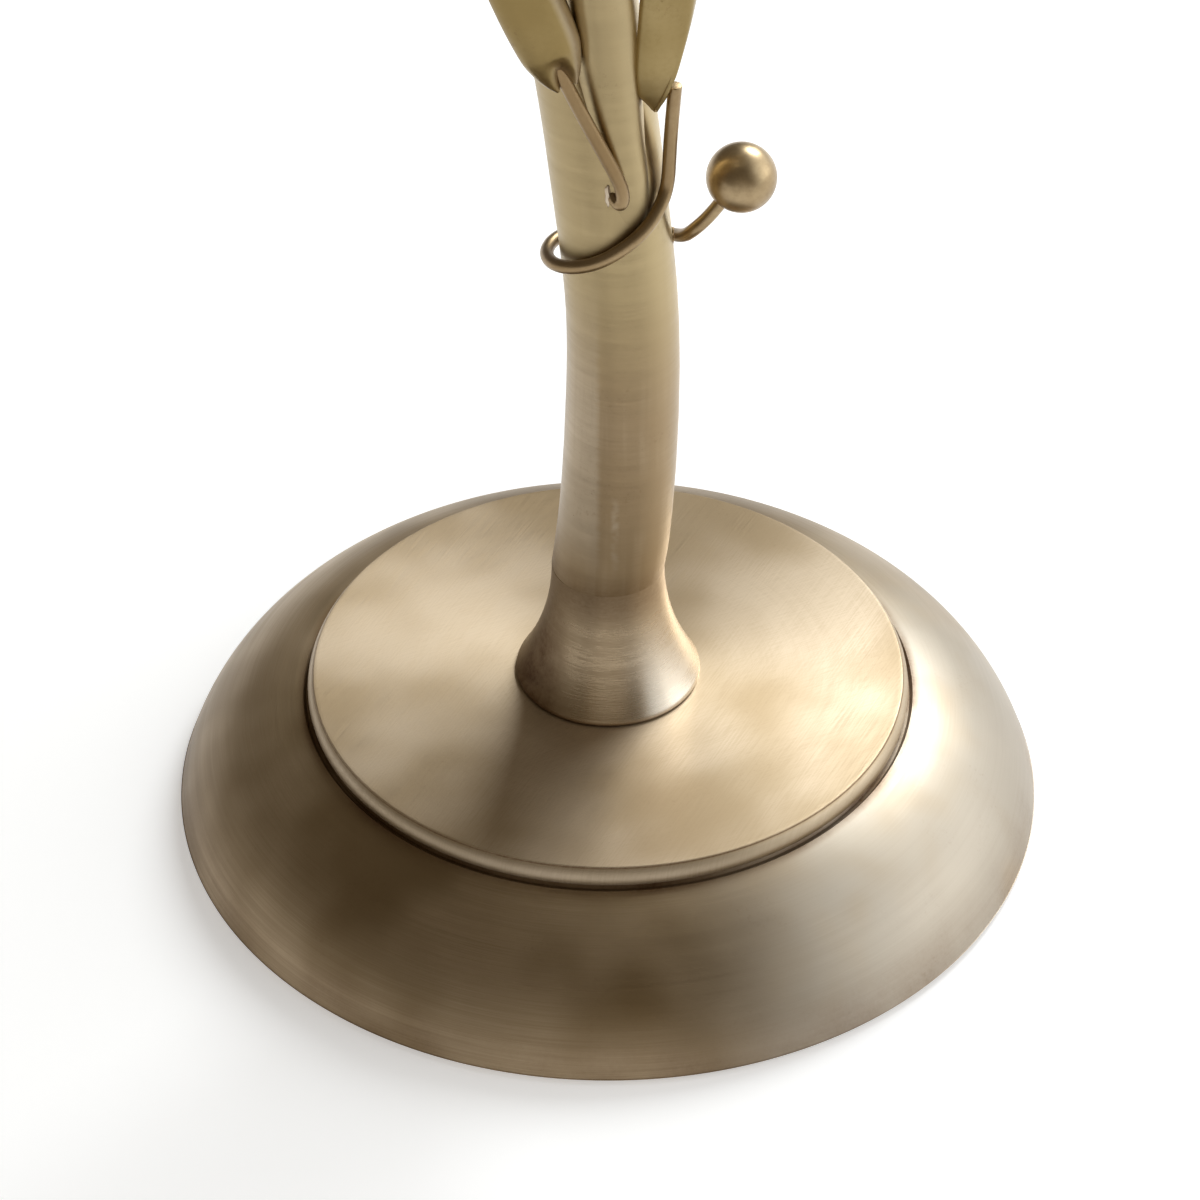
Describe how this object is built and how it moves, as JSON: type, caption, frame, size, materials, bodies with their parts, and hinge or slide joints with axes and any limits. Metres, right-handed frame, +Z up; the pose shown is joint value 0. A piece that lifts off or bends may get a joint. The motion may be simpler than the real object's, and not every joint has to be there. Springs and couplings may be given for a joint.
{
  "type": "buffet lamp",
  "caption": "Buffet lamp: a weighted round base, a tall swaying stem with pod leaves, a looping tendril and berries, and a tapered fabric shade on a harp.",
  "frame": {"origin": "centre of the felt under the base, on the surface that the lamp stands on", "axes": "+Z up along the stem, +Y to the back where the mains lead leaves the base, +X to the right seen from the front"},
  "size_m": [0.305, 0.305, 0.8185],
  "materials": {
    "antique_brass": "satin brushed antique brass, browner in the creases",
    "socket_brass": "plain spun brass",
    "zinc_steel": "zinc plated",
    "frame_steel": "white lacquered wire",
    "weight_iron": "as cast",
    "base_felt": "brown felt",
    "black_plastic": "matte black",
    "liner_card": "brown insulating card",
    "porcelain": "unglazed white",
    "bulb_metal": "bright pressed cap",
    "bulb_glass": "frosted white",
    "shade_linen": "off-white woven linen"
  },
  "bodies": {
    "lamp": {"base_shell": "antique_brass", "base_disc": "antique_brass", "stem_foot": "antique_brass", "main_stem": "antique_brass", "side_stem": "antique_brass", "side_berry": "antique_brass", "low_right_leaf": "antique_brass", "low_left_leaf": "antique_brass", "low_left_stalk": "antique_brass", "tendril": "antique_brass", "tendril_berry": "antique_brass", "right_rear_stalk": "antique_brass", "right_rear_leaf": "antique_brass", "left_mid_stalk": "antique_brass", "left_mid_leaf": "antique_brass", "right_mid_stalk": "antique_brass", "right_mid_leaf": "antique_brass", "rear_mid_stalk": "antique_brass", "rear_mid_leaf": "antique_brass", "left_high_stalk": "antique_brass", "left_high_leaf": "antique_brass", "right_high_stalk": "antique_brass", "right_high_leaf": "antique_brass", "left_berry_twig": "antique_brass", "left_berry": "antique_brass", "right_berry_twig": "antique_brass", "right_berry": "antique_brass", "neck_cap": "antique_brass", "harp_saddle": "antique_brass", "harp": "antique_brass", "harp_stud": "antique_brass", "socket_cap": "socket_brass", "socket_shell": "socket_brass", "screw_shell": "socket_brass", "centre_contact": "socket_brass", "terminal_screws": "socket_brass", "base_cover": "zinc_steel", "cover_screws": "zinc_steel", "foot_nipple": "zinc_steel", "foot_washer": "zinc_steel", "foot_nut": "zinc_steel", "foot_plug": "zinc_steel", "top_nipple": "zinc_steel", "lock_nut": "zinc_steel", "base_weight": "weight_iron", "felt_pad": "base_felt", "cord_bushing": "black_plastic", "socket_liner": "liner_card", "socket_body": "porcelain"},
    "shade": {"shade_fabric": "shade_linen", "shade_spider": "frame_steel", "shade_bottom_ring": "frame_steel"},
    "finial": {"finial": "antique_brass"},
    "bulb": {"bulb_cap": "bulb_metal", "bulb_glass": "bulb_glass"},
    "switch": {"switch_shaft": "zinc_steel", "switch_knob": "black_plastic"},
    "left_ferrule": {"left_ferrule": "antique_brass"},
    "right_ferrule": {"right_ferrule": "antique_brass"}
  },
  "joints": [
    {"name": "shade_turn", "type": "hinge", "parent": "lamp", "child": "shade", "pos_m": [0, 0, 0.7911], "axis": [0, 0, 1], "continuous": true},
    {"name": "finial_turn", "type": "hinge", "parent": "lamp", "child": "finial", "pos_m": [0, 0, 0.7975], "axis": [0, 0, 1], "continuous": true},
    {"name": "bulb_turn", "type": "hinge", "parent": "lamp", "child": "bulb", "pos_m": [0, 0, 0.6155], "axis": [0, 0, 1], "continuous": true},
    {"name": "switch_turn", "type": "hinge", "parent": "lamp", "child": "switch", "pos_m": [0, -0.02, 0.58676], "axis": [0, -1, 0], "continuous": true},
    {"name": "left_ferrule_slide", "type": "slide", "parent": "lamp", "child": "left_ferrule", "axis": [0, 0, 1], "range_m": [0, 0.01]},
    {"name": "right_ferrule_slide", "type": "slide", "parent": "lamp", "child": "right_ferrule", "axis": [0, 0, 1], "range_m": [0, 0.01]}
  ]
}
